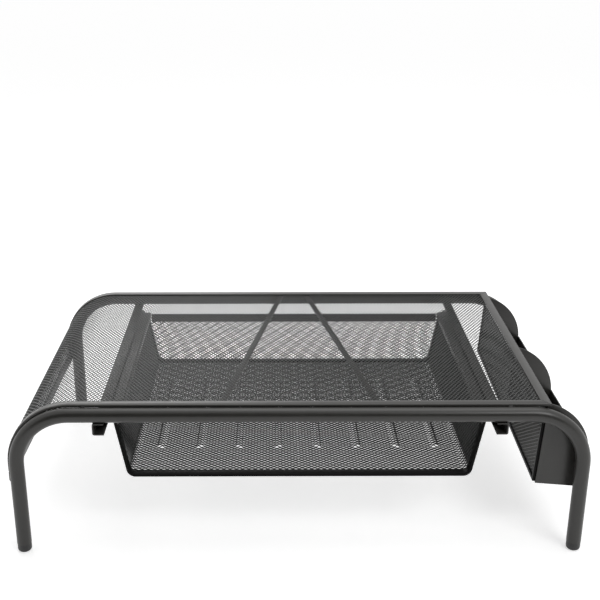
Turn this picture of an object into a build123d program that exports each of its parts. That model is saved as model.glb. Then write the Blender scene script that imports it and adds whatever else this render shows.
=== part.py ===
from build123d import *
import math
import os

# Monitor stand: two bent tube frames carry a mesh top that wraps down over the left bend,
# a mesh drawer hangs in two channel rails, and a bin with two pockets hangs at the right.
# Millimetres, +Z up, origin on the desk under the middle of the stand, front towards -Y.

# Tube frames
frame_width = 508.0  # outside of one leg to outside of the other
frame_depth = 300.0  # front of the front tube to back of the rear tube
tube_top = 141.5
tube_diameter = 13.0
tube_wall = 1.2
bend_outside = 55.0  # outer radius of the tube's bend

# Plastic foot caps
cap_height = 8.0
cap_diameter = 12.6
cap_chamfer = 2.2
plug_diameter = 10.5
plug_length = 12.0

# Mesh sheet and the hem strips folded over its edges
sheet = 0.8
rim_seat = 0.5  # how far the hems sink beside the tube's crest until they touch it
hem_thickness = 2.5
hem_width = 8.0
hem_cover = 7.0  # how far the sheet reaches into a hem
top_half_depth = 141.0
bar_outer_x = 216.0
side_bar_height = 10.0
side_front_z = 69.0  # lower edge of the left wall at the front
side_rear_z = 61.5

# Plain grid that stands for the fine mesh of the top sheet and the drawer
grid_bar = 9.0
grid_columns = 8
grid_pitch_x = 50.0
grid_middle_x = 4.5
grid_rows = 5
grid_pitch_y = 53.0
bend_windows = (25.0, 63.0)  # degrees round the left bend
bend_window = 28.0
tray_window = 26.0  # across, between two ribs
tray_pitch_y = 48.0
tray_middle_y = -2.5
tray_window_low = 80.0
tray_window_high = 110.0

# Straps under the top
strap_width = 5.3
strap_thickness = 2.0
strap_front_x = 69.0
strap_rear_x = 14.0
strap_reach = 138.0

# Drawer rails, C section open towards the drawer
rail_inner_x = 168.8
rail_outer_x = 178.8
rail_height = 11.0
rail_sheet = 1.2
rail_rounding = 1.8
rail_half_length = 147.7

# Drawer
drawer_front_y = -130.0
drawer_rear_y = 125.0
drawer_bottom = 66.5
drawer_half_floor = 153.0
drawer_half_top = 163.7
drawer_wall_top = 123.8
drawer_corner = 8.0
rear_wall_top = 122.0
rear_strip_half = 158.5
rim_inner_x = 159.0
rim_lip_drop = 6.0
slide_gap = 0.3
rim_side_gap = 0.4

# Stiffening ribs pressed into the drawer floor
rib_count = 8
rib_pitch = 36.9
rib_width = 5.6
rib_rise = 1.3
rib_taper = 35.0  # degrees that its sides lean in
rib_front_y = -78.0
rib_rear_y = 73.0

# Side bin
bin_half_depth = 132.0
bin_sheet = 1.2
bin_wall_x = 208.0  # left face of the inner wall at its lowest level
bin_wall_z = 62.0
bin_wall_lean = 0.065
bin_front_z = 62.5  # lower inner edge at the front
bin_rear_z = 75.0
bin_floor_drop = 4.0  # floor falls this much towards the outside
bin_outer_x = 254.8  # inner face of the outer wall
bin_outer_top = 92.0
bin_corner = 50.0  # rounding of the plates' outer corners
bin_hem_width = 3.0
bin_flange = 10.0
divider_y = -8.0

# Weld spots
weld_left_x = -186.5
weld_right_x = 180.5
weld_length = 3.0
weld_radius = 1.1
rail_weld_length = 8.0
rail_weld_radius = 0.8
rail_weld_share = 0.55  # place of the bead across the tube, as a share of its radius

tube_radius = tube_diameter / 2
axis_x = frame_width / 2 - tube_radius
axis_y = frame_depth / 2 - tube_radius
axis_z = tube_top - tube_radius
bend_axis = bend_outside - tube_radius
bend_x = frame_width / 2 - bend_outside
bend_z = tube_top - bend_outside
sheet_near = (hem_thickness - sheet) / 2
sheet_far = sheet_near + sheet
seat_z = tube_top - rim_seat
top_z = seat_z + hem_thickness

os.makedirs("parts", exist_ok=True)


def save(name, shape):
    export_step(shape, f"parts/{name}.step")


def shifted(points, distance):
    """Corners of an open line moved sideways to its left."""
    moved = []
    for index, (x, z) in enumerate(points):
        normals = []
        for start, end in ((index - 1, index), (index, index + 1)):
            if start < 0 or end >= len(points):
                continue
            dx = points[end][0] - points[start][0]
            dz = points[end][1] - points[start][1]
            length = math.hypot(dx, dz)
            normals.append((-dz / length, dx / length))
        nx = sum(n[0] for n in normals)
        nz = sum(n[1] for n in normals)
        scale = distance * len(normals) / (nx * nx + nz * nz)
        moved.append((x + nx * scale, z + nz * scale))
    return moved


def band(points, radius, near, far):
    """Flat band between two offsets of a rounded line; positive offsets lie to the left."""
    first = shifted(points, near)
    last = shifted(points, far)
    turn = (points[1][0] - points[0][0]) * (points[2][1] - points[1][1])
    turn -= (points[1][1] - points[0][1]) * (points[2][0] - points[1][0])
    side = -1 if turn > 0 else 1
    edge_one = FilletPolyline(*first, radius=radius + side * near)
    edge_two = FilletPolyline(*last, radius=radius + side * far)
    ends = Line(first[0], last[0]) + Line(first[-1], last[-1])
    return make_face(edge_one + edge_two + ends)


def polygon(points):
    return make_face(Polyline(*points, close=True))


def along_y(face, low, high):
    """Face drawn in X and Z, given the length from low to high in Y."""
    return extrude(Plane.XZ.offset(-high) * face, amount=high - low)


def along_x(face, low, high):
    """Face drawn in Y and Z, given the length from low to high in X."""
    return extrude(Plane.YZ.offset(low) * face, amount=high - low)


def along_z(face, low, high):
    return extrude(Plane.XY.offset(low) * face, amount=high - low)


def mirrored(shape):
    return mirror(shape, about=Plane.YZ)


def block(low, high):
    """Box between two corners."""
    size = [high[i] - low[i] for i in range(3)]
    middle = [(high[i] + low[i]) / 2 for i in range(3)]
    return Pos(*middle) * Box(*size)


# Tube frames
def leg_tube(y):
    plane = Plane.XZ.offset(-y)
    corners = [(-axis_x, cap_height), (-axis_x, axis_z), (axis_x, axis_z), (axis_x, cap_height)]
    path = plane * FilletPolyline(*corners, radius=bend_axis)
    # The caps hide the bore, so eight flats stand for its round
    ring = Circle(tube_radius) - RegularPolygon(tube_radius - tube_wall, 8, major_radius=False)
    return sweep(Plane(path @ 0, z_dir=path % 0) * ring, path=path)


front_tube = leg_tube(-axis_y)
rear_tube = leg_tube(axis_y)
save("front_leg_tube", front_tube)
save("rear_leg_tube", rear_tube)

# Foot caps
head = Pos(0, 0, cap_height / 2) * Cylinder(cap_diameter / 2, cap_height)
head = chamfer(head.edges().sort_by(Axis.Z)[0], cap_chamfer)
plug_outline = RegularPolygon(plug_diameter / 2, 8, major_radius=False)
plug = extrude(Plane.XY.offset(cap_height) * plug_outline, amount=plug_length)
foot_cap = head + plug
for side, x in (("left", -axis_x), ("right", axis_x)):
    for end, y in (("front", -axis_y), ("rear", axis_y)):
        save(f"foot_cap_{end}_{side}", Pos(x, y, 0) * foot_cap)

# Mesh top, wrapped over the left bend
side_x = rim_seat - frame_width / 2
wrap = [(bar_outer_x, seat_z), (side_x, seat_z), (side_x, 0)]
wrap_radius = bend_outside - rim_seat
sheet_edge = hem_width - hem_cover


def side_level(y):
    """Height of the left wall's lower edge at a depth."""
    share = (y + top_half_depth) / (2 * top_half_depth)
    return side_front_z + (side_rear_z - side_front_z) * share


below_side = polygon([
    (-frame_depth, side_level(-frame_depth) + sheet_edge),
    (frame_depth, side_level(frame_depth) + sheet_edge),
    (frame_depth, -1), (-frame_depth, -1)])
wrapped = band(wrap, wrap_radius, -sheet_near, -sheet_far)
top_sheet = along_y(wrapped, -top_half_depth + sheet_edge, top_half_depth - sheet_edge)
top_sheet -= along_x(below_side, -frame_width, 0)
top_sheet -= block((bar_outer_x - sheet_edge, -frame_depth, 0), (frame_width, frame_depth, 200))
grid = GridLocations(grid_pitch_x, grid_pitch_y, grid_columns, grid_rows)
window = Box(grid_pitch_x - grid_bar, grid_pitch_y - grid_bar, hem_thickness)
top_sheet -= [Pos(grid_middle_x, 0, seat_z + hem_thickness / 2) * place * window for place in grid]
bent_window = Box(bend_window, grid_pitch_y - grid_bar, 2 * hem_thickness)
for angle in bend_windows:
    for place in GridLocations(0, grid_pitch_y, 1, grid_rows):
        turned = Pos(-bend_x, 0, bend_z) * place * Rot(0, -angle, 0)
        top_sheet -= turned * Pos(0, 0, bend_outside) * bent_window
save("top_mesh_panel", top_sheet)


def rim_strip(front):
    """Hem along the front or rear edge, with a mitre at the right and its end above the side bar."""
    outer = top_half_depth
    inner = top_half_depth - hem_width
    strip = along_y(band(wrap, wrap_radius, 0, -hem_thickness), inner, outer)
    strip -= along_y(band(wrap, wrap_radius, -sheet_near, -sheet_far), inner - 1, inner + hem_cover)
    mitre = polygon([
        (bar_outer_x, outer), (frame_width, outer), (frame_width, inner), (bar_outer_x - hem_width, inner)])
    strip -= along_z(mitre, seat_z - 1, top_z + 1)
    end_z = side_level(-outer if front else outer) + side_bar_height
    end_z = max(end_z, side_level(-inner if front else inner) + side_bar_height)
    strip -= block((-frame_width, inner - 1, -1), (-frame_width / 4, outer + 1, end_z))
    return mirror(strip, about=Plane.XZ) if front else strip


front_strip = rim_strip(True)
rear_strip = rim_strip(False)
save("front_rim_strip", front_strip)
save("rear_rim_strip", rear_strip)

inner_x = bar_outer_x - hem_width
inner_y = top_half_depth - hem_width
bar_plan = polygon([
    (bar_outer_x, -top_half_depth), (bar_outer_x, top_half_depth), (inner_x, inner_y), (inner_x, -inner_y)])
right_bar = along_z(bar_plan, seat_z, top_z)
slot = block((inner_x - 1, -top_half_depth + sheet_edge, seat_z + sheet_near),
             (inner_x + hem_cover, top_half_depth - sheet_edge, seat_z + sheet_far))
save("right_rim_bar", right_bar - slot)

side_face = polygon([
    (-top_half_depth, side_front_z), (-top_half_depth, side_front_z + side_bar_height),
    (top_half_depth, side_rear_z + side_bar_height), (top_half_depth, side_rear_z)])
side_bar = along_x(side_face, side_x - hem_thickness, side_x)
side_slot = along_x(Pos(0, sheet_edge) * side_face, side_x - sheet_far, side_x - sheet_near)
side_slot &= block((-frame_width, -top_half_depth + sheet_edge, 0), (0, top_half_depth - sheet_edge, 200))
save("side_edge_bar", side_bar - side_slot)

# Straps under the top
strap_ends = [(strap_front_x, -strap_reach), (strap_rear_x, strap_reach)]
strap_run = math.hypot(strap_front_x - strap_rear_x, 2 * strap_reach)
half_x = strap_width / 2 * strap_run / (2 * strap_reach)
strap_plan = polygon([
    (strap_front_x - half_x, -strap_reach), (strap_front_x + half_x, -strap_reach),
    (strap_rear_x + half_x, strap_reach), (strap_rear_x - half_x, strap_reach)])
strap = along_z(strap_plan, seat_z - strap_thickness, seat_z)
save("support_strap_right", strap)
save("support_strap_left", mirrored(strap))

# Drawer rails
rail_top = tube_top - tube_diameter
rail_bottom = rail_top - rail_height
rail_line = [
    (rail_inner_x, rail_bottom), (rail_outer_x, rail_bottom),
    (rail_outer_x, rail_top), (rail_inner_x, rail_top)]
rail = along_y(band(rail_line, rail_rounding, 0, rail_sheet), -rail_half_length, rail_half_length)
save("drawer_rail_right", rail)
save("drawer_rail_left", mirrored(rail))

# Weld spots between the tubes and what they carry
rim_welds = []
rail_welds = []
rail_middle = (rail_inner_x + rail_outer_x) / 2
seam_y = axis_y - tube_radius * rail_weld_share
for tube, sign_y in ((front_tube, -1), (rear_tube, 1)):
    for weld_x in (weld_left_x, weld_right_x):
        place = Pos(weld_x, sign_y * top_half_depth, seat_z) * Rot(0, 90, 0)
        spot = place * Cylinder(weld_radius, weld_length) - tube
        spot -= block((-frame_width, -top_half_depth, 0), (frame_width, top_half_depth, top_z))
        rim_welds += spot.solids()
    for rail_x in (-rail_middle, rail_middle):
        start = (rail_x - rail_weld_length / 2, sign_y * seam_y, rail_top + rail_weld_radius)
        octagon = RegularPolygon(rail_weld_radius, 8, major_radius=False, rotation=22.5)
        outline = Plane(start, z_dir=(1, 0, 0)) * octagon
        bead = extrude(outline, amount=rail_weld_length)
        rail_welds += (bead - tube).solids()
save("rim_weld_spots", Compound(children=rim_welds))
save("rail_weld_beads", Compound(children=rail_welds))

# Drawer tray: floor and both walls are one bent mesh sheet
tray_line = [
    (-drawer_half_top, drawer_wall_top), (-drawer_half_floor, drawer_bottom),
    (drawer_half_floor, drawer_bottom), (drawer_half_top, drawer_wall_top)]
tray_band = band(tray_line, drawer_corner, sheet_near, sheet_far)
level_top = block((-frame_width, -frame_depth, drawer_wall_top), (frame_width, frame_depth, 200))
tray = along_y(tray_band, drawer_front_y + sheet_edge, drawer_rear_y - sheet_edge) - level_top
floor_low = drawer_bottom + sheet_near
floor_high = drawer_bottom + sheet_far
rib_length = rib_rear_y - rib_front_y
rib_middle = (rib_rear_y + rib_front_y) / 2
rib_plan = Rectangle(rib_width, rib_length)
rib = extrude(Plane.XY.offset(floor_high) * rib_plan, amount=rib_rise, taper=rib_taper)
rib_hollow = extrude(Plane.XY.offset(floor_low) * rib_plan, amount=rib_rise, taper=rib_taper)
for index in range(rib_count):
    place = Pos((index - (rib_count - 1) / 2) * rib_pitch, rib_middle, 0)
    tray = tray + place * rib - place * rib_hollow
floor_window = Box(tray_window, tray_pitch_y - grid_bar, 2 * hem_thickness)
wall_window = Box(2 * frame_width, tray_pitch_y - grid_bar, tray_window_high - tray_window_low)
wall_window_z = (tray_window_low + tray_window_high) / 2
for place in GridLocations(rib_pitch, tray_pitch_y, rib_count - 1, grid_rows):
    tray -= Pos(0, tray_middle_y, drawer_bottom) * place * floor_window
for place in GridLocations(0, tray_pitch_y, 1, grid_rows):
    tray -= Pos(0, tray_middle_y, wall_window_z) * place * wall_window
save("drawer_mesh_tray", tray)

# Hem strips at the drawer's front and rear edges
hem_band = band(tray_line, drawer_corner, 0, hem_thickness)
for name, low, high in (
        ("drawer_front_hem", drawer_front_y, drawer_front_y + hem_width),
        ("drawer_rear_hem", drawer_rear_y - hem_width, drawer_rear_y)):
    hem = along_y(hem_band, low, high) - level_top
    hem -= along_y(tray_band, drawer_front_y + sheet_edge, drawer_rear_y - sheet_edge)
    save(name, hem)

# Rear wall of the drawer with a hem on its upper edge
closed = make_face(FilletPolyline(*tray_line, radius=drawer_corner) + Line(tray_line[-1], tray_line[0]))
rear_wall = along_y(closed, drawer_rear_y, drawer_rear_y + sheet)
rear_wall -= block((-frame_width, 0, rear_wall_top), (frame_width, frame_depth, 200))
save("drawer_rear_wall", rear_wall)
strip_low = drawer_rear_y + sheet / 2 - hem_thickness / 2
rear_top = block((-rear_strip_half, strip_low, rear_wall_top - hem_width),
                 (rear_strip_half, strip_low + hem_thickness, rear_wall_top + sheet_edge))
rear_top = fillet(rear_top.edges().filter_by(Axis.X).sort_by(Axis.Z)[-2:], 0.8)
rear_top -= block((-frame_width, drawer_rear_y, 0), (frame_width, drawer_rear_y + sheet, rear_wall_top))
save("drawer_rear_strip", rear_top)

# Rims that carry the drawer: a channel turned down at both sides, the outer lip inside the rail
rim_high = drawer_wall_top + rail_sheet
rim_outer_x = rail_outer_x - rail_sheet - rim_side_gap
rim_lip_z = rail_bottom + rail_sheet + slide_gap
rim_line = [
    (rim_inner_x, rim_high - rim_lip_drop), (rim_inner_x, rim_high),
    (rim_outer_x, rim_high), (rim_outer_x, rim_lip_z)]
rim_face = band(rim_line, rail_rounding, 0, -rail_sheet)
rim = along_y(rim_face, drawer_front_y, drawer_rear_y)
rim -= along_y(hem_band, drawer_front_y - 1, drawer_rear_y + 1)
save("drawer_rim_right", rim)
save("drawer_rim_left", mirrored(rim))


# Side bin
def bin_level(y):
    """Underside of the bin at its inner edge."""
    return bin_front_z + (bin_rear_z - bin_front_z) * (y + bin_half_depth) / (2 * bin_half_depth)


def wall_x(z, offset):
    """Inner wall's X at a height, measured from its left face."""
    return bin_wall_x + bin_wall_lean * (z - bin_wall_z) + offset * math.sqrt(1 + bin_wall_lean ** 2)


def bin_plate(y, lift, offset):
    """Upright plate with a rounded outer corner and a tab under the right hem."""
    low_in = bin_level(y) + lift
    low_out = low_in - bin_floor_drop
    turn_x = bin_outer_x - bin_corner
    turn_z = seat_z - bin_corner
    tab_x = bar_outer_x
    tab_z = turn_z + math.sqrt(bin_corner ** 2 - (tab_x - turn_x) ** 2)
    half_angle = math.atan2(tab_z - turn_z, tab_x - turn_x) / 2
    arc_middle = (turn_x + bin_corner * math.cos(half_angle), turn_z + bin_corner * math.sin(half_angle))
    curve = ThreePointArc((bin_outer_x, turn_z), arc_middle, (tab_x, tab_z))
    straight = Polyline(
        (tab_x, tab_z), (tab_x, seat_z), (wall_x(seat_z, offset), seat_z),
        (wall_x(low_in, offset), low_in), (bin_outer_x, low_out), (bin_outer_x, turn_z))
    return make_face(curve + straight)


def between(front_points, rear_points, low, high):
    """Straight-sided body between an outline at the front and one at the rear."""
    front_face = Plane.XZ.offset(-low) * polygon(front_points)
    rear_face = Plane.XZ.offset(-high) * polygon(rear_points)
    return loft([front_face, rear_face], ruled=True)


lean = math.sqrt(1 + bin_wall_lean ** 2)
wall_plane = Plane(
    origin=(bin_wall_x, 0, bin_wall_z), x_dir=(0, 1, 0), z_dir=(1 / lean, 0, -bin_wall_lean / lean))


def wall_outline(margin):
    """Outline of the inner wall in its own plane, taken in by a margin at front, rear and below."""
    low_front = (bin_level(-bin_half_depth) - bin_wall_z) * lean + margin
    low_rear = (bin_level(bin_half_depth) - bin_wall_z) * lean + margin
    high = (seat_z - bin_wall_z) * lean
    side = bin_half_depth - margin
    return polygon([(-side, low_front), (side, low_rear), (side, high), (-side, high)])


wall_hem = extrude(wall_plane * wall_outline(0), amount=hem_thickness)
wall_hem -= extrude(wall_plane.offset(-1) * wall_outline(bin_hem_width), amount=hem_thickness + 2)
wall_sheet = extrude(wall_plane.offset(sheet_near) * wall_outline(sheet_edge), amount=sheet)
save("bin_inner_wall", wall_sheet)
save("bin_wall_hem", wall_hem - wall_sheet)

floor_ends = []
for y in (-bin_half_depth, bin_half_depth):
    low = bin_level(y)
    high = low + bin_sheet
    floor_ends.append([
        (wall_x(low, hem_thickness), low), (bin_outer_x, low - bin_floor_drop),
        (bin_outer_x, high - bin_floor_drop), (wall_x(high, hem_thickness), high)])
bin_floor = between(floor_ends[0], floor_ends[1], -bin_half_depth, bin_half_depth)
save("bin_floor", bin_floor)

# Front panel with flanges folded back inside the inner wall and under the floor
front_y = -bin_half_depth - bin_sheet
front_panel = along_y(bin_plate(-bin_half_depth, -bin_sheet, hem_thickness), front_y, -bin_half_depth)
flange_ends = []
under_ends = []
for y in (-bin_half_depth, -bin_half_depth + bin_flange):
    low = bin_level(y)
    level = low + bin_sheet
    top = seat_z - 2 * bin_sheet
    flange_ends.append([
        (wall_x(level, hem_thickness), level), (wall_x(level, hem_thickness + bin_sheet), level),
        (wall_x(top, hem_thickness + bin_sheet), top), (wall_x(top, hem_thickness), top)])
    under_ends.append([
        (wall_x(low, hem_thickness), low), (bin_outer_x, low - bin_floor_drop),
        (bin_outer_x, low - bin_floor_drop - bin_sheet), (wall_x(low, hem_thickness), low - bin_sheet)])
front_panel += between(flange_ends[0], flange_ends[1], -bin_half_depth, -bin_half_depth + bin_flange)
front_panel += between(under_ends[0], under_ends[1], -bin_half_depth, -bin_half_depth + bin_flange)
front_panel -= bin_floor
save("bin_front_panel", front_panel)

half_plate = bin_sheet / 2
divider = along_y(bin_plate(divider_y, bin_sheet, sheet_far), divider_y - half_plate, divider_y + half_plate)
save("bin_divider", divider - bin_floor - wall_hem)
rear_panel = along_y(bin_plate(bin_half_depth, 0, hem_thickness), bin_half_depth, -front_y)
save("bin_rear_panel", rear_panel)

# Outer wall
outer_wall = block((bin_outer_x, front_y, 0), (bin_outer_x + bin_sheet, -front_y, bin_outer_top))
below_bin = polygon([
    (front_y - 1, bin_level(front_y - 1) - bin_floor_drop),
    (1 - front_y, bin_level(1 - front_y) - bin_floor_drop),
    (1 - front_y, -1), (front_y - 1, -1)])
outer_wall -= along_x(below_bin, bin_outer_x - 1, bin_outer_x + bin_sheet + 1)
save("bin_outer_wall", outer_wall)
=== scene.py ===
import math

import bmesh
import bpy
from mathutils import Matrix, Vector


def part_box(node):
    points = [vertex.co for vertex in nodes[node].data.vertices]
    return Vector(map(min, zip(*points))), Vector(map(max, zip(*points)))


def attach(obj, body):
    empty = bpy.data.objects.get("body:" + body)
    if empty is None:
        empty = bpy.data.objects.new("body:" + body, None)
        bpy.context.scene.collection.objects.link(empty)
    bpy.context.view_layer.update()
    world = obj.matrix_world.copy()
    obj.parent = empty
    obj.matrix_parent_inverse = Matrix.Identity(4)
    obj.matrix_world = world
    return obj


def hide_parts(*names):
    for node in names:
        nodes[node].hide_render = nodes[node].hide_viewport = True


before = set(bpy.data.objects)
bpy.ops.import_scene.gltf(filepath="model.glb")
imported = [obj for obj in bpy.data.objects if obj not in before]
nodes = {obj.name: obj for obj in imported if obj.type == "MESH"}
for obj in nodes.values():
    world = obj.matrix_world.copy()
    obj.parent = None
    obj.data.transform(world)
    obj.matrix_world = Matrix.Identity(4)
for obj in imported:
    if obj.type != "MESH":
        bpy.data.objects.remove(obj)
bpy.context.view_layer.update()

mm = 0.001
print("frame loaded:", len(nodes), "nodes")


# Materials

def hexColour(text):
    # sRGB hex to linear
    channels = [int(text[i:i + 2], 16) / 255 for i in (1, 3, 5)]
    return [c / 12.92 if c <= 0.04045 else ((c + 0.055) / 1.055) ** 2.4 for c in channels] + [1.0]


def addNode(tree, kind, settings=None, values=None):
    # values go to sockets by name, or by number where a node's sockets share a name:
    # an output socket is linked, anything else is set
    node = tree.nodes.new(kind)
    for name, value in (settings or {}).items():
        setattr(node, name, value)
    for name, value in (values or {}).items():
        if isinstance(value, bpy.types.NodeSocket):
            tree.links.new(value, node.inputs[name])
        else:
            node.inputs[name].default_value = value
    return node


def newMaterial(name):
    material = bpy.data.materials.new(name)
    material.use_nodes = True
    tree = material.node_tree
    tree.nodes.clear()
    return material, tree


coating = {
    "mottleSize": 9 * mm,
    "smoothest": 0.30,
    "roughest": 0.39,
    "peelSize": 1.6 * mm,  # orange peel of a thick powder layer
    "steel": {"colour": "#2a2927", "mottle": "#302f2c", "peelDepth": 0.03 * mm, "shine": 0.5},
    "mesh": {"colour": "#272827", "mottle": "#2e2f2e", "peelDepth": 0.01 * mm, "shine": 0.5},
    "weld": {"colour": "#1e1d1c", "mottle": "#262523", "peelDepth": 0.15 * mm, "shine": 0.5},
    # painted shade: the steel's own coat, made darker and duller for the hems that lie in the
    # shade below the top
    "hemPaintedShade": {"colour": "#101010", "mottle": "#151514", "peelDepth": 0.03 * mm, "shine": 0.06},
}


def satinPowderCoat(name, coat):
    # polyester powder coat on mild steel: dark grey, soft broad highlights, faint orange peel
    material, tree = newMaterial(name)
    place = addNode(tree, "ShaderNodeTexCoord").outputs["Object"]
    mottle = addNode(tree, "ShaderNodeTexNoise", {}, {
        "Vector": place, "Scale": 1 / coating["mottleSize"], "Detail": 3.0, "Roughness": 0.6})
    shade = addNode(tree, "ShaderNodeMix", {"data_type": "RGBA"}, {
        0: mottle.outputs["Fac"], 6: hexColour(coat["colour"]), 7: hexColour(coat["mottle"])})
    gloss = addNode(tree, "ShaderNodeMapRange", {}, {
        "Value": mottle.outputs["Fac"], "To Min": coating["smoothest"],
        "To Max": coating["roughest"]})
    peel = addNode(tree, "ShaderNodeTexNoise", {}, {
        "Vector": place, "Scale": 1 / coating["peelSize"], "Detail": 1.0})
    bump = addNode(tree, "ShaderNodeBump", {}, {
        "Height": peel.outputs["Fac"], "Distance": coat["peelDepth"], "Strength": 0.6})
    shader = addNode(tree, "ShaderNodeBsdfPrincipled", {}, {
        "Base Color": shade.outputs[2], "Roughness": gloss.outputs["Result"],
        "Normal": bump.outputs["Normal"], "IOR": 1.5, "Specular IOR Level": coat["shine"]})
    addNode(tree, "ShaderNodeOutputMaterial", {}, {"Surface": shader.outputs["BSDF"]})
    return material


moulding = {"colour": "#242424", "roughness": 0.46, "grainSize": 0.5 * mm, "grainDepth": 0.04 * mm}


def mouldedPolyethylene(name):
    # injection moulded polyethylene: black, matte, with a fine spark-eroded grain
    material, tree = newMaterial(name)
    place = addNode(tree, "ShaderNodeTexCoord").outputs["Object"]
    grain = addNode(tree, "ShaderNodeTexNoise", {}, {
        "Vector": place, "Scale": 1 / moulding["grainSize"], "Detail": 2.0})
    bump = addNode(tree, "ShaderNodeBump", {}, {
        "Height": grain.outputs["Fac"], "Distance": moulding["grainDepth"], "Strength": 0.7})
    shader = addNode(tree, "ShaderNodeBsdfPrincipled", {}, {
        "Base Color": hexColour(moulding["colour"]), "Roughness": moulding["roughness"],
        "Normal": bump.outputs["Normal"], "IOR": 1.5})
    addNode(tree, "ShaderNodeOutputMaterial", {}, {"Surface": shader.outputs["BSDF"]})
    return material


coatedSteel = satinPowderCoat("powderCoatedSteel", coating["steel"])
coatedMesh = satinPowderCoat("powderCoatedExpandedSteel", coating["mesh"])
coatedWeld = satinPowderCoat("powderCoatedWeldBead", coating["weld"])
# the hems' coat is the steel's coat painted darker and duller, as shade
coatedHemPaintedShade = satinPowderCoat("powderCoatedHemPaintedShade", coating["hemPaintedShade"])
capPlastic = mouldedPolyethylene("mouldedPolyethylene")
print("materials made:", len(bpy.data.materials))


# Making pieces

mergeWithin = 0.002 * mm
cutWithin = 0.0005 * mm


def finishPiece(bm, name, body, material, replaced, smoothAngle=35):
    mesh = bpy.data.meshes.new(name)
    bm.to_mesh(mesh)
    bm.free()
    for face in mesh.polygons:
        face.use_smooth = smoothAngle > 0
    if smoothAngle:
        mesh.set_sharp_from_angle(angle=math.radians(smoothAngle))
    mesh.materials.append(material)
    piece = bpy.data.objects.new(name, mesh)
    bpy.context.scene.collection.objects.link(piece)
    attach(piece, body)
    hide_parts(*replaced)
    return piece


def foldLine(corners, radius):
    # runs of a folded sheet's line: start, direction, length and curvature, left turns positive
    runs = []
    start = Vector(corners[0])
    for before, corner, after in zip(corners, corners[1:], corners[2:]):
        inward = (Vector(corner) - Vector(before)).normalized()
        onward = (Vector(after) - Vector(corner)).normalized()
        turn = -inward.angle_signed(onward)
        trim = radius * math.tan(abs(turn) / 2)
        arcStart = Vector(corner) - inward * trim
        runs.append((start, inward, (arcStart - start).length, 0.0))
        runs.append((arcStart, inward, radius * abs(turn), math.copysign(1 / radius, turn)))
        start = Vector(corner) + onward * trim
    last = Vector(corners[-1])
    runs.append((start, (last - start).normalized(), (last - start).length, 0.0))
    return runs


def pointOnLine(runs, along):
    # place and left-hand normal at a distance along the line
    for start, direction, length, curvature in runs:
        if along <= length or start is runs[-1][0]:
            break
        along -= length
    left = Vector((-direction.y, direction.x))
    if not curvature:
        return start + direction * along, left
    turn = curvature * along
    place = start + (direction * math.sin(turn) + left * (1 - math.cos(turn))) / curvature
    return place, left * math.cos(turn) - direction * math.sin(turn)


def lineLength(runs):
    return sum(length for start, direction, length, curvature in runs)


def pushed(bm, edges, step):
    made = bmesh.ops.extrude_edge_only(bm, edges=edges)["geom"]
    bmesh.ops.translate(bm, vec=step, verts=[g for g in made if isinstance(g, bmesh.types.BMVert)])
    return [g for g in made if isinstance(g, bmesh.types.BMEdge)]


def carriedAlong(bm, edges, runs, stepAngle):
    # carries an outline's edges along a folded line drawn in X and Z
    for start, direction, length, curvature in runs:
        if curvature:
            centre = start + Vector((-direction.y, direction.x)) / curvature
            angle = curvature * length
            made = bmesh.ops.spin(
                bm, geom=edges, cent=(centre.x, 0, centre.y), axis=(0, -1, 0), dvec=(0, 0, 0),
                angle=angle, steps=round(abs(angle) / math.radians(stepAngle)),
                use_merge=False)["geom_last"]
            edges = [g for g in made if isinstance(g, bmesh.types.BMEdge)]
        else:
            edges = pushed(bm, edges, (direction.x * length, 0, direction.y * length))
    return edges


def cutOff(bm, place, outward):
    bmesh.ops.bisect_plane(
        bm, geom=bm.verts[:] + bm.edges[:] + bm.faces[:], dist=cutWithin, plane_co=place,
        plane_no=outward, clear_outer=True)


# Tube frames

tube = {
    "width": 508 * mm,  # outside the legs
    "top": 141.5 * mm,
    "diameter": 13 * mm,
    "bend": 55 * mm,  # outer radius
    "foot": 8 * mm,  # where the legs end in their caps
    "bore": 10.6 * mm,
    "boreDepth": 12 * mm,
    "sides": 40,
    "stepAngle": 3.75,  # degrees from ring to ring in a bend
}


def legTube(nodeName):
    low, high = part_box(nodeName)
    y = (low.y + high.y) / 2
    radius = tube["diameter"] / 2
    legX = tube["width"] / 2 - radius
    level = tube["top"] - radius
    bm = bmesh.new()
    bmesh.ops.create_circle(bm, segments=tube["sides"], radius=radius, cap_ends=False)
    # flats outwards, so that no corner stands out of the round tube
    halfSide = Matrix.Rotation(math.radians(180 / tube["sides"]), 3, "Z")
    bmesh.ops.rotate(bm, cent=(0, 0, 0), matrix=halfSide, verts=bm.verts)
    bmesh.ops.translate(bm, vec=(legX, y, tube["foot"]), verts=bm.verts)
    mouth = list(bm.edges)
    corners = [(legX, tube["foot"]), (legX, level), (-legX, level), (-legX, tube["foot"])]
    line = foldLine(corners, tube["bend"] - radius)
    farMouth = carriedAlong(bm, mouth, line, tube["stepAngle"])
    # both mouths turn in and run up as the bore
    share = tube["bore"] / tube["diameter"]
    for rim, x in ((mouth, legX), (farMouth, -legX)):
        lip = pushed(bm, rim, (0, 0, 0))
        around = {v for e in lip for v in e.verts}
        bmesh.ops.scale(
            bm, vec=(share, share, 1), space=Matrix.Translation((-x, -y, 0)), verts=list(around))
        pushed(bm, lip, (0, 0, tube["boreDepth"]))
    bmesh.ops.recalc_face_normals(bm, faces=bm.faces)
    finishPiece(bm, nodeName + "_bent", "stand", coatedSteel, [nodeName])


cap = {
    "radius": 6.3 * mm,
    "height": 8 * mm,
    "rounding": 2.8 * mm,
    "roundSteps": 6,
    "groove": 0.15 * mm,  # round the cap where the tube stands on it
    "plug": 5.2 * mm,  # radius of the part inside the tube
    "plugTop": 20 * mm,
    "steps": 40,
}


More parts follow.
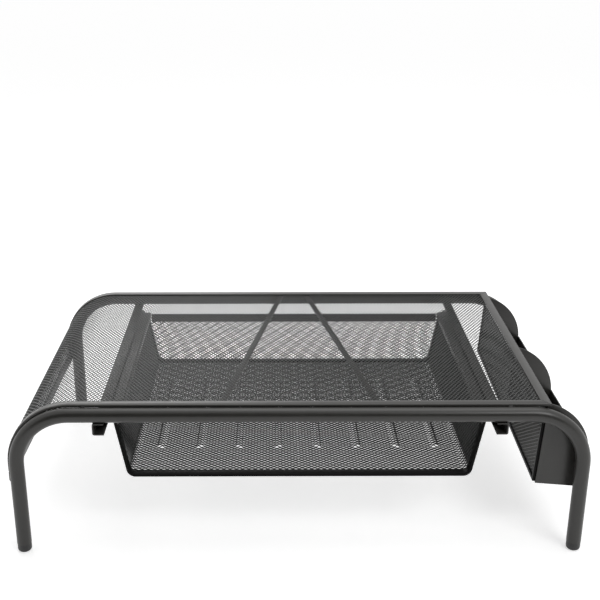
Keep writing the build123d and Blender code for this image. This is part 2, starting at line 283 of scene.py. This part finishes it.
def footCap(nodeName):
    low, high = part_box(nodeName)
    centre = (low + high) / 2
    bm = bmesh.new()
    outline = [(0, 0), (cap["radius"] - cap["rounding"], 0)]
    for step in range(1, cap["roundSteps"] + 1):
        angle = math.radians(90 * step / cap["roundSteps"])
        outline.append((cap["radius"] - cap["rounding"] * (1 - math.sin(angle)),
                        cap["rounding"] * (1 - math.cos(angle))))
    outline += [
        (cap["radius"], cap["height"] - cap["groove"]),
        (cap["radius"] - cap["groove"], cap["height"]),
        (cap["plug"], cap["height"]),
        (cap["plug"], cap["plugTop"]),
        (0, cap["plugTop"]),
    ]
    verts = [bm.verts.new((r, 0, z)) for r, z in outline]
    edges = [bm.edges.new(pair) for pair in zip(verts, verts[1:])]
    bmesh.ops.spin(
        bm, geom=verts + edges, cent=(0, 0, 0), axis=(0, 0, 1), dvec=(0, 0, 0),
        angle=math.radians(360), steps=cap["steps"], use_merge=True)
    bmesh.ops.remove_doubles(bm, verts=bm.verts, dist=mergeWithin)
    bmesh.ops.recalc_face_normals(bm, faces=bm.faces)
    bmesh.ops.translate(bm, vec=(centre.x, centre.y, 0), verts=bm.verts)
    finishPiece(bm, nodeName + "_moulded", "stand", capPlastic, [nodeName])


legTube("front_leg_tube")
legTube("rear_leg_tube")
for end in ("front", "rear"):
    for side in ("left", "right"):
        footCap("foot_cap_" + end + "_" + side)
print("tubes and caps made")


# Expanded mesh

smallestOpening = 0.3  # share of a whole cell; what is smaller stays closed at the sheet's edge


def diamondNet(low, high, cell, strand, lean, slantCuts=()):
    # flat net between two corners, cut from a grid turned by 45 degrees, a knot at the origin;
    # each strand is tilted by lean in X and Y, so that its face looks that way
    reach = max(abs(c) for c in (*low, *high))
    count = 2 * math.ceil(reach / cell[0] + reach / cell[1])
    bm = bmesh.new()
    bmesh.ops.create_grid(bm, x_segments=count, y_segments=count, size=count / 2)
    diagonal = Matrix.Rotation(math.radians(45), 3, "Z")
    bmesh.ops.rotate(bm, cent=(0, 0, 0), matrix=diagonal, verts=bm.verts)
    bmesh.ops.scale(bm, vec=(cell[0] / math.sqrt(2), cell[1] / math.sqrt(2), 1), verts=bm.verts)
    straightCuts = [((low[0], 0), (-1, 0)), ((high[0], 0), (1, 0)),
                    ((0, low[1]), (0, -1)), ((0, high[1]), (0, 1))]
    for place, outward in straightCuts + list(slantCuts):
        cutOff(bm, (*place, 0), (*outward, 0))
    wholeCell = cell[0] * cell[1] / 2
    openings = [f for f in bm.faces if f.calc_area() > wholeCell * smallestOpening]
    bmesh.ops.inset_individual(bm, faces=openings, thickness=strand / 2, use_even_offset=True)
    for opening in openings:
        middle = opening.calc_center_median()
        for vert in opening.verts:
            away = vert.co - middle
            vert.co.z = 2 * (lean[0] * away.x / cell[0] + lean[1] * away.y / cell[1])
    bmesh.ops.delete(bm, geom=openings, context="FACES")
    return bm


def netPieces(net, names, toPlace, body, nodeName, thickness, length):
    # the net in parts side by side, each moved to its place and given its thickness
    low = min(v.co.x for v in net.verts)
    for index, name in enumerate(names):
        start = low + length * index / len(names)
        end = low + length * (index + 1) / len(names)
        part = net.copy()
        outside = [f for f in part.faces if not start <= f.calc_center_median().x < end]
        bmesh.ops.delete(part, geom=outside, context="FACES")
        for vert in part.verts:
            vert.co = toPlace(vert.co)
        piece = finishPiece(
            part, name, body, coatedMesh, [nodeName], smoothAngle=0)
        shell = piece.modifiers.new("strandThickness", "SOLIDIFY")
        shell.thickness = thickness
        shell.offset = 0
    net.free()


# Hems folded flat over the sheets' edges

hem = {
    "width": 8 * mm,
    "thickness": 2.5 * mm,
    "rounding": 0.4 * mm,
    "foldRounding": 1.1 * mm,  # on the bar below the left wall
    "sectionPoints": 12,
    "inset": 1 * mm,  # from a hem's outer edge to its sheet's edge
    "joint": 0.12 * mm,  # how far a hem stands back where it meets another
    "stepAngle": 5,  # degrees from section to section in a bend
    "drawerStepAngle": 8,
}


def hemSection(bm, centre, across, upward, width, thickness, rounding):
    # a folded hem's section: a flat rectangle with rounded corners
    points = hem["sectionPoints"]
    ring = bmesh.ops.create_circle(bm, segments=points, radius=rounding, cap_ends=False)["verts"]
    halfStep = Matrix.Rotation(math.radians(180 / points), 3, "Z")
    bmesh.ops.rotate(bm, cent=(0, 0, 0), matrix=halfStep, verts=ring)
    for vert in ring:
        vert.co.x += math.copysign(width / 2 - rounding, vert.co.x)
        vert.co.y += math.copysign(thickness / 2 - rounding, vert.co.y)
    across, upward = Vector(across), Vector(upward)
    turn = Matrix((across, upward, across.cross(upward))).transposed()
    bmesh.ops.transform(bm, matrix=Matrix.Translation(centre) @ turn.to_4x4(), verts=ring)
    return list(bm.edges)


def flatHemSection(bm, centre, across, upward):
    return hemSection(
        bm, centre, across, upward, hem["width"], hem["thickness"], hem["rounding"])


def closedHem(bm, nodeName, body, material=coatedSteel):
    bmesh.ops.holes_fill(bm, edges=[e for e in bm.edges if e.is_boundary], sides=0)
    bmesh.ops.recalc_face_normals(bm, faces=bm.faces)
    finishPiece(
        bm, nodeName + "_hemmed", body, material, [nodeName],
        smoothAngle=50)


# Top: level, round the left bend and down as the left wall

top = {
    "seat": 140.9 * mm,  # underside of the level hems
    "side": -253.4 * mm,  # inner side of the left wall's hems
    "bend": 54.4 * mm,
    "right": 216 * mm,
    "depth": 141 * mm,  # to each side of the middle
    "barHeight": 10 * mm,
    "barFront": 69 * mm,  # lower edge of the bar below the left wall, at the front
    "barRear": 61.5 * mm,
    "cell": (3.65 * mm, 5.7 * mm),
    "strand": 0.6 * mm,
    "lean": (-0.2 * mm, 0),
    "thickness": 0.45 * mm,
}


def topLine(rightEnd, lowerEnd):
    # middle of the sheet and of its hems
    middle = hem["thickness"] / 2
    level = top["seat"] + middle
    wallX = top["side"] - middle
    return foldLine([(rightEnd, level), (wallX, level), (wallX, lowerEnd)], top["bend"] + middle)


def barLevel(y):
    # top of the bar along the left wall's lower edge
    share = (y + top["depth"]) / (2 * top["depth"])
    return top["barFront"] + (top["barRear"] - top["barFront"]) * share + top["barHeight"]


def makeRims():
    # the front and rear hems, mitred at the right and butted to the bar at the left
    level = top["seat"] + hem["thickness"] / 2
    for nodeName, sign in (("front_rim_strip", -1), ("rear_rim_strip", 1)):
        outer = sign * top["depth"]
        inner = outer - sign * hem["width"]
        bm = bmesh.new()
        section = flatHemSection(
            bm, (top["right"], (outer + inner) / 2, level), (0, 1, 0), (0, 0, 1))
        lowerEnd = max(barLevel(outer), barLevel(inner)) + hem["joint"]
        carriedAlong(bm, section, topLine(top["right"], lowerEnd), hem["stepAngle"])
        cutOff(bm, (top["right"] - hem["joint"], outer, 0), (1, -sign, 0))
        closedHem(bm, nodeName, "stand")


def makeRightBar():
    level = top["seat"] + hem["thickness"] / 2
    bm = bmesh.new()
    section = flatHemSection(
        bm, (top["right"] - hem["width"] / 2, -top["depth"], level), (1, 0, 0), (0, 0, 1))
    pushed(bm, section, (0, 2 * top["depth"], 0))
    for sign in (-1, 1):
        cutOff(bm, (top["right"] + hem["joint"], sign * top["depth"], 0), (-1, sign, 0))
    closedHem(bm, "right_rim_bar", "stand")


def makeSideBar():
    # its lower edge falls to the rear
    bm = bmesh.new()
    centre = (top["side"] - hem["thickness"] / 2, -top["depth"],
              top["barFront"] + top["barHeight"] / 2)
    section = hemSection(
        bm, centre, (1, 0, 0), (0, 0, 1), hem["thickness"], top["barHeight"],
        hem["foldRounding"])
    pushed(bm, section, (0, 2 * top["depth"], top["barRear"] - top["barFront"]))
    closedHem(bm, "side_edge_bar", "stand")


def makeTopSheet():
    depth = top["depth"] - hem["inset"]
    rearEnd = top["barRear"] + hem["inset"]
    drop = top["barFront"] - top["barRear"]
    runs = topLine(top["right"] - hem["inset"], rearEnd)
    length = lineLength(runs)
    # the sheet ends along the bar, which falls to the rear
    slantCut = ((length - drop / 2, 0), Vector((1, -drop / (2 * depth))).normalized())
    net = diamondNet(
        (0, -depth), (length, depth), top["cell"], top["strand"], top["lean"], [slantCut])

    def toPlace(co):
        place, inward = pointOnLine(runs, co.x)
        place = place - inward * co.z
        return Vector((place.x, co.y, place.y))

    names = ["top_mesh_right", "top_mesh_middle", "top_mesh_left", "top_mesh_wall"]
    netPieces(net, names, toPlace, "stand", "top_mesh_panel", top["thickness"], length)


makeRims()
makeRightBar()
makeSideBar()
makeTopSheet()
print("top made")


# Drawer: floor with pressed ribs, two leaning walls and the rear wall

ribPitch = 36.9 * mm

tray = {
    "cell": (ribPitch / 6.5, 4.4 * mm),  # rows drawn coarser than real ones, to show
    "strand": 0.6 * mm,
    "lean": (0, -0.75 * mm),
    "thickness": 0.4 * mm,
    "halfFloor": 153 * mm,
    "halfTop": 163.7 * mm,
    "bottom": 66.5 * mm,
    "top": 123.8 * mm,
    "corner": 8 * mm,
    "lift": 1.25 * mm,  # from the hems' outer side to the sheet's middle
    "front": -129 * mm,
    "rear": 124 * mm,
    "ribs": 8,
    "ribHalf": 2.2 * mm,
    "ribRise": 1.3 * mm,
    "ribFront": -78 * mm,
    "ribRear": 73 * mm,
}
rearWall = {
    "cell": (ribPitch / 6.5, 3.6 * mm),
    "lean": (0, 0.4 * mm),
    "y": 125.4 * mm,
    "top": 122 * mm,
    "cornerIn": 3.6 * mm,  # a point of the cut at each lower corner, in and up from it
    "cornerUp": 0.5 * mm,
}


def wallSlope():
    # the drawer's right wall, upwards
    return Vector((tray["halfTop"] - tray["halfFloor"], tray["top"] - tray["bottom"])).normalized()


def trayLine():
    # the sheet's middle lies inside the outline by its lift
    slope = wallSlope()
    floorZ = tray["bottom"] + tray["lift"]
    floorX = tray["halfFloor"] - tray["lift"] * (1 - slope.x) / slope.y
    topX = tray["halfTop"] - tray["lift"] / slope.y
    corners = [(-topX, tray["top"]), (-floorX, floorZ), (floorX, floorZ), (topX, tray["top"])]
    return foldLine(corners, tray["corner"] - tray["lift"])


def makeDrawerHems():
    toMiddle = hem["width"] / 2 - hem["inset"]
    for nodeName, y in (("drawer_front_hem", tray["front"] + toMiddle),
                        ("drawer_rear_hem", tray["rear"] - toMiddle)):
        runs = trayLine()
        # a little longer than the walls, then cut level
        beyond = hem["thickness"]
        start, direction, length, curvature = runs[-1]
        runs[-1] = (start, direction, length + beyond, curvature)
        start, direction, length, curvature = runs[0]
        start = start - direction * beyond
        runs[0] = (start, direction, length + beyond, curvature)
        bm = bmesh.new()
        section = flatHemSection(
            bm, (start.x, y, start.y), (0, 1, 0), (-direction.y, 0, direction.x))
        carriedAlong(bm, section, runs, hem["drawerStepAngle"])
        cutOff(bm, (0, 0, tray["top"]), (0, 0, 1))
        # the drawer's hems take the coat with painted shade
        closedHem(bm, nodeName, "drawer", coatedHemPaintedShade)


def makeTraySheet():
    runs = trayLine()
    length = lineLength(runs)
    half = length / 2
    net = diamondNet(
        (-half, tray["front"]), (half, tray["rear"]), tray["cell"], tray["strand"], tray["lean"])

    def onRib(x, y):
        # the ribs stand half a pitch to each side of the middle, one and a half, and so on
        fromRib = abs(x / ribPitch % 1 - 0.5) * ribPitch
        inFloor = abs(x) < ribPitch * tray["ribs"] / 2
        return inFloor and fromRib < tray["ribHalf"] and tray["ribFront"] < y < tray["ribRear"]

    def toPlace(co):
        place, normal = pointOnLine(runs, co.x + half)
        rise = tray["ribRise"] if onRib(place.x, co.y) else 0.0
        place = place + normal * (rise + co.z)
        return Vector((place.x, co.y, place.y))

    netPieces(net, ["drawer_mesh_left", "drawer_mesh_right"], toPlace, "drawer",
              "drawer_mesh_tray", tray["thickness"], length)


def makeRearWall():
    # the outline between the walls, in the plane of the drawer's rear edge
    slope = wallSlope()
    slants = [((sign * tray["halfFloor"], tray["bottom"]), (sign * slope.y, -slope.x))
              for sign in (1, -1)]
    # the lower corners are cut straight, inside the round corners of the sheet
    for sign in (-1, 1):
        cornerX = sign * (tray["halfFloor"] - rearWall["cornerIn"])
        slants.append(((cornerX, tray["bottom"] + rearWall["cornerUp"]),
                       Vector((sign, -1)).normalized()))
    net = diamondNet(
        (-tray["halfTop"], tray["bottom"]), (tray["halfTop"], rearWall["top"]), rearWall["cell"],
        tray["strand"], rearWall["lean"], slants)

    def toPlace(co):
        return Vector((co.x, rearWall["y"] - co.z, co.y))

    netPieces(net, ["drawer_mesh_rear"], toPlace, "drawer", "drawer_rear_wall",
              tray["thickness"], 2 * tray["halfTop"])


makeDrawerHems()
makeTraySheet()
makeRearWall()
print("drawer made")


# Mesh wall between drawer and bin, leaning to the right

binWall = {
    "cell": (3.65 * mm, 5.7 * mm),
    "strand": 0.45 * mm,
    "lean": (-0.25 * mm, 0),
    "thickness": 0.2 * mm,
    "x": 208 * mm,  # a point on the left side of the wall's hem
    "z": 62 * mm,
    "slope": 0.065,  # to the right for each metre up
    "lift": 1.25 * mm,  # from there to the sheet's middle
    "depth": 131 * mm,  # to each side of the middle
    "top": 140.8 * mm,
    "frontEdge": 63.5 * mm,
    "rearEdge": 76 * mm,
}


def makeBinWall():
    stretch = math.sqrt(1 + binWall["slope"] ** 2)
    up = Vector((binWall["slope"], 1)) / stretch
    right = Vector((up.y, -up.x))
    base = Vector((binWall["x"], binWall["z"])) + right * binWall["lift"]
    depth = binWall["depth"]
    height = (binWall["top"] - binWall["z"]) * stretch
    low = (binWall["frontEdge"] - binWall["z"]) * stretch
    # the lower edge rises to the rear
    rise = (binWall["rearEdge"] - binWall["frontEdge"]) * stretch / (2 * depth)
    net = diamondNet(
        (0, -depth), (height, depth), binWall["cell"], binWall["strand"], binWall["lean"],
        [((low, -depth), Vector((-1, rise)).normalized())])

    def toPlace(co):
        place = base + up * co.x - right * co.z
        return Vector((place.x, co.y, place.y))

    netPieces(net, ["bin_mesh_wall"], toPlace, "stand", "bin_inner_wall", binWall["thickness"],
              height)


makeBinWall()
print("bin wall made")


# Strips, rails, panels and welds, as in the frame but with rounded edges

softening = {
    "flatWithin": 0.5,  # degrees between faces
    "sharpAbove": 38,
    "segments": 2,
    "stand": {
        "support_strap_left": 0.3 * mm,
        "support_strap_right": 0.3 * mm,
        "drawer_rail_left": 0.25 * mm,
        "drawer_rail_right": 0.25 * mm,
        "bin_floor": 0.25 * mm,
        "bin_front_panel": 0.25 * mm,
        "bin_divider": 0.3 * mm,
        "bin_rear_panel": 0.3 * mm,
        "bin_outer_wall": 0.3 * mm,
    },
    "drawer": {
        "drawer_rear_strip": 0.3 * mm,
        "drawer_rim_left": 0.25 * mm,
        "drawer_rim_right": 0.25 * mm,
    },
    "binWallHem": 0.3 * mm,
}


def softenedCopy(nodeName, body, width, material=coatedSteel):
    # a node's shape with its sharp edges rounded, as a folded and coated sheet has them
    bm = bmesh.new()
    bm.from_mesh(nodes[nodeName].data)
    bmesh.ops.remove_doubles(bm, verts=bm.verts, dist=mergeWithin)
    bmesh.ops.dissolve_limit(
        bm, angle_limit=math.radians(softening["flatWithin"]), verts=bm.verts, edges=bm.edges)
    sharpAngle = math.radians(softening["sharpAbove"])
    sharp = [e for e in bm.edges if e.is_manifold and e.calc_face_angle(0) > sharpAngle]
    bmesh.ops.bevel(
        bm, geom=sharp, offset=width, segments=softening["segments"], profile=0.5,
        affect="EDGES", clamp_overlap=True, material=-1)
    finishPiece(bm, nodeName + "_soft", body, material, [nodeName])


for body in ("stand", "drawer"):
    for nodeName, width in softening[body].items():
        softenedCopy(nodeName, body, width)
# the bin wall's hem takes the coat with painted shade
softenedCopy("bin_wall_hem", "stand", softening["binWallHem"], coatedHemPaintedShade)
for nodeName in ("rim_weld_spots", "rail_weld_beads"):
    nodes[nodeName].data.materials.clear()
    nodes[nodeName].data.materials.append(coatedWeld)
print("strips, rails, panels and welds made")


# Floor, light and camera, in metres

studio = {
    "floorHalf": 25,
    "floorColour": "#e8e8e8",
    "floorGlow": 0.59,
    "worldLevel": 0.5,
    "clothColour": "#0c0c0c",
    "clothHalf": (2.8, 1.5),
    "clothPlace": (-0.2, -2.3, 1.65),
}


def whiteToTheEye(tree):
    # camera, glossy and transmission rays see plain white
    path = addNode(tree, "ShaderNodeLightPath")
    both = addNode(tree, "ShaderNodeMath", {"operation": "MAXIMUM"}, {
        0: path.outputs["Is Camera Ray"], 1: path.outputs["Is Glossy Ray"]})
    return addNode(tree, "ShaderNodeMath", {"operation": "MAXIMUM"}, {
        0: both.outputs[0], 1: path.outputs["Is Transmission Ray"]}).outputs[0]


def stagePiece(bm, name, material):
    mesh = bpy.data.meshes.new(name)
    bm.to_mesh(mesh)
    bm.free()
    mesh.materials.append(material)
    piece = bpy.data.objects.new(name, mesh)
    bpy.context.scene.collection.objects.link(piece)
    return piece


def makeFloor():
    bm = bmesh.new()
    bmesh.ops.create_grid(bm, x_segments=1, y_segments=1, size=studio["floorHalf"])
    material, tree = newMaterial("paintedBoard")
    paint = addNode(tree, "ShaderNodeBsdfDiffuse", {}, {"Color": hexColour(studio["floorColour"])})
    glow = addNode(tree, "ShaderNodeEmission", {}, {
        "Color": (1, 1, 1, 1), "Strength": studio["floorGlow"]})
    lit = addNode(tree, "ShaderNodeAddShader", {}, {0: paint.outputs[0], 1: glow.outputs[0]})
    seen = addNode(tree, "ShaderNodeMixShader", {}, {
        0: whiteToTheEye(tree), 1: paint.outputs[0], 2: lit.outputs[0]})
    addNode(tree, "ShaderNodeOutputMaterial", {}, {"Surface": seen.outputs[0]})
    stagePiece(bm, "floor", material)


def makeWorld():
    world = bpy.data.worlds.new("studio")
    world.use_nodes = True
    tree = world.node_tree
    tree.nodes.clear()
    level = addNode(tree, "ShaderNodeMix", {"data_type": "FLOAT"}, {
        0: whiteToTheEye(tree), 2: studio["worldLevel"], 3: 1.0})
    background = addNode(tree, "ShaderNodeBackground", {}, {
        "Color": (1, 1, 1, 1), "Strength": level.outputs[0]})
    addNode(tree, "ShaderNodeOutputWorld", {}, {"Surface": background.outputs[0]})
    bpy.context.scene.world = world


def makeDarkCloth():
    # upright behind the camera, so that the steel's front reflects a dark room
    bm = bmesh.new()
    bmesh.ops.create_grid(bm, x_segments=1, y_segments=1, size=1)
    bmesh.ops.scale(bm, vec=(*studio["clothHalf"], 1), verts=bm.verts)
    upright = Matrix.Rotation(math.radians(90), 3, "X")
    bmesh.ops.rotate(bm, cent=(0, 0, 0), matrix=upright, verts=bm.verts)
    bmesh.ops.translate(bm, vec=studio["clothPlace"], verts=bm.verts)
    material, tree = newMaterial("blackMolton")
    cloth = addNode(tree, "ShaderNodeBsdfDiffuse", {}, {"Color": hexColour(studio["clothColour"])})
    addNode(tree, "ShaderNodeOutputMaterial", {}, {"Surface": cloth.outputs[0]})
    stagePiece(bm, "flag", material).visible_camera = False


lamps = {
    "overheadLight": {
        "place": (0.1, 0.25, 1.5), "target": (0, 0, 0.1), "size": (1.5, 0.9), "power": 7.4},
    "frontLight": {
        "place": (0.8, -0.98, 1.17), "target": (0.2, -0.14, 0.13), "size": (0.7, 0.35),
        "power": 7.0},
    "rearLight": {
        "place": (-0.55, 1.25, 0.78), "target": (0, 0, 0.13), "size": (1.0, 0.5), "power": 4.0},
}


def softBox(name, lamp):
    light = bpy.data.lights.new(name, "AREA")
    light.shape = "RECTANGLE"
    light.size, light.size_y = lamp["size"]
    light.energy = lamp["power"]
    box = bpy.data.objects.new(name, light)
    box.location = lamp["place"]
    beam = Vector(lamp["target"]) - Vector(lamp["place"])
    box.rotation_euler = beam.to_track_quat("-Z", "Y").to_euler()
    bpy.context.scene.collection.objects.link(box)


makeFloor()
makeWorld()
makeDarkCloth()
for name, lamp in lamps.items():
    softBox(name, lamp)

# where the photograph was taken from, fitted to the stand's edges and corners
view = {
    "place": (-24.15 * mm, -906.96 * mm, 525.34 * mm),
    "down": 20.493,  # degrees
    "towardsRight": 0.293,
    "lens": 59.64,
    "sensor": 36,
    "shift": 0.0385,
    "clipStart": 0.01,
}
camera = bpy.data.cameras.new("camera")
camera.lens = view["lens"]
camera.sensor_width = view["sensor"]
camera.shift_x = view["shift"]
camera.clip_start = view["clipStart"]
cameraObject = bpy.data.objects.new("camera", camera)
cameraObject.location = view["place"]
cameraObject.rotation_euler = (
    math.radians(90 - view["down"]), 0, math.radians(-view["towardsRight"]))
bpy.context.scene.collection.objects.link(cameraObject)
bpy.context.scene.camera = cameraObject
bpy.context.scene.view_settings.view_transform = "Standard"
print("floor, light and camera set")
